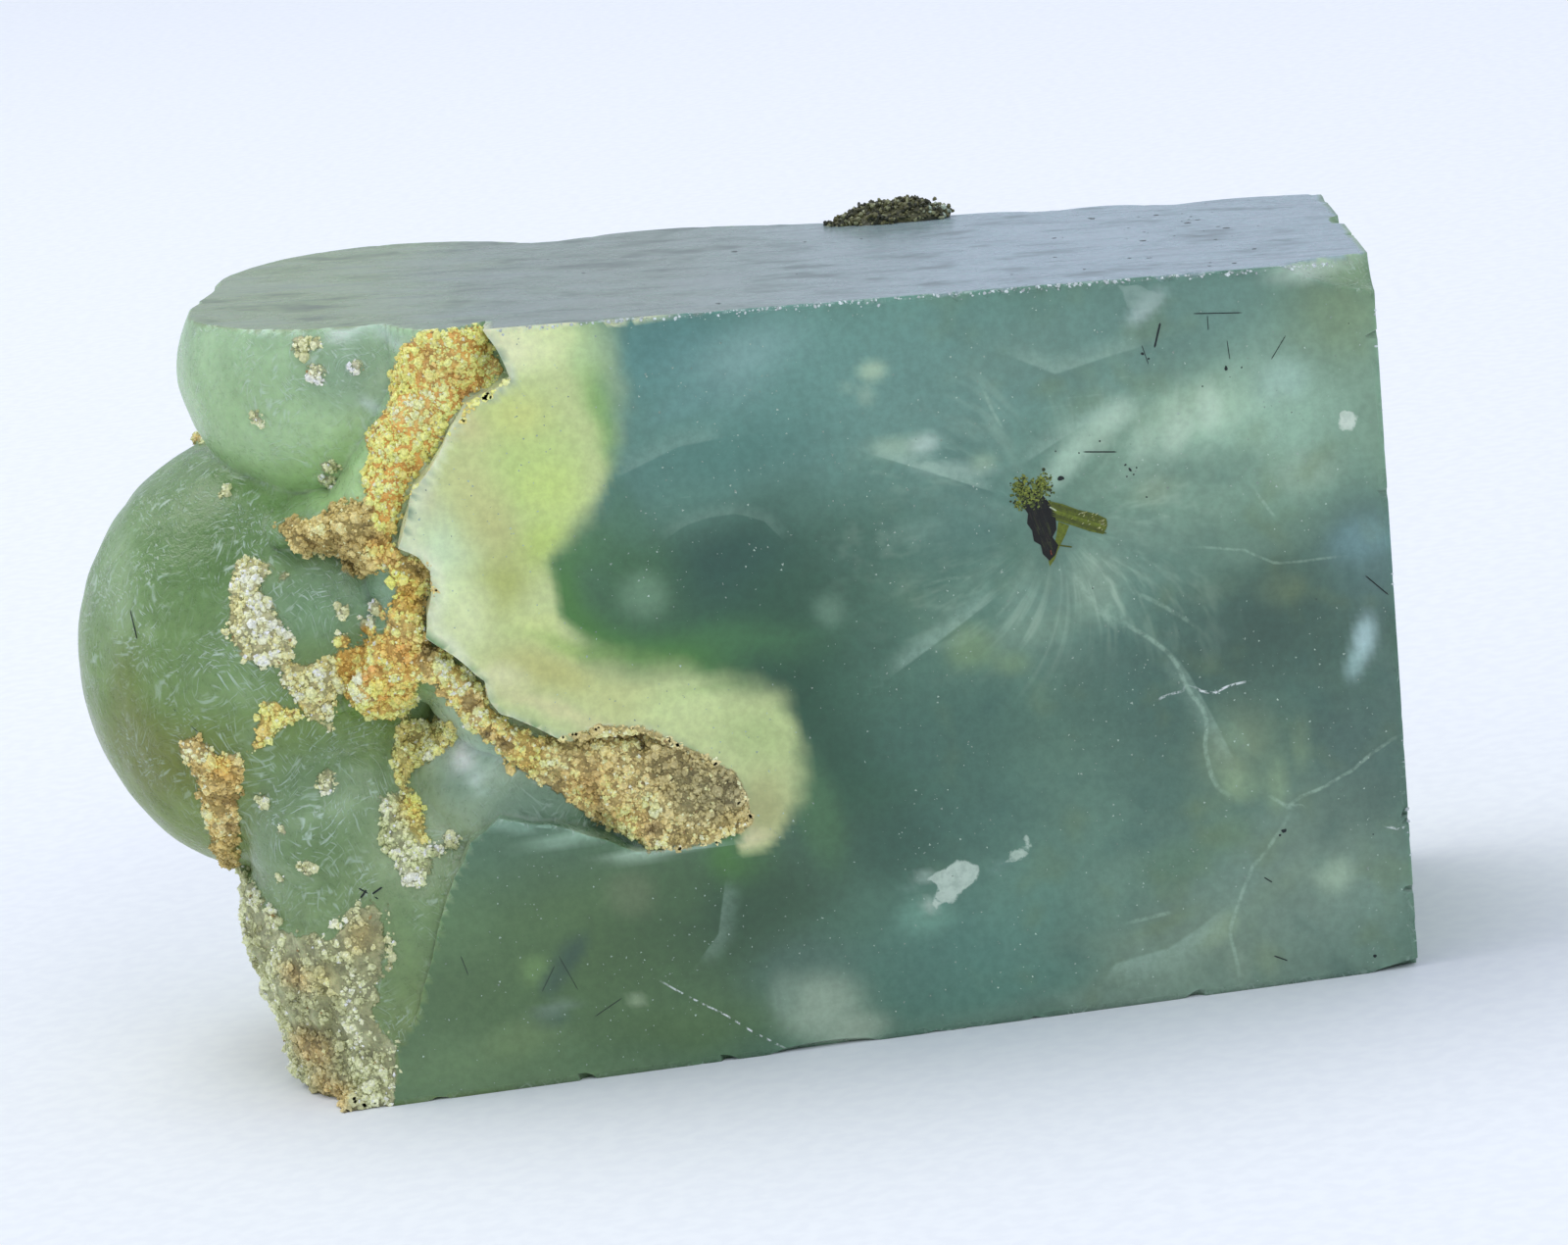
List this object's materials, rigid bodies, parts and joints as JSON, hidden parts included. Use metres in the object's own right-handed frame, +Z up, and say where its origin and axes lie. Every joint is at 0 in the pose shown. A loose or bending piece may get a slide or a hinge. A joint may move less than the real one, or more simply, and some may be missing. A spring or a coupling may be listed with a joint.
{
  "type": "raw prehnite block",
  "caption": "Sawn block of green prehnite with flat cut faces, rounded natural lobes at one end and the back, and a grainy ochre crust between them.",
  "frame": {"origin": "middle of the bounding box's base, on the plane of the sawn underside", "axes": "+X along the long front cut, from the rounded natural end towards the sawn end; +Y from the polished front cut into the stone; +Z up from the sawn underside"},
  "size_m": [0.0818, 0.0386, 0.0477],
  "materials": {
    "prehnite": "cloudy translucent green stone, sawn faces wet-looking and smooth",
    "crust": "grainy ochre, cream and grey mineral crust, matt",
    "epidote": "dark olive to black epidote crystals"
  },
  "bodies": {
    "root": {"prehnite_block": "prehnite"}
  },
  "joints": []
}
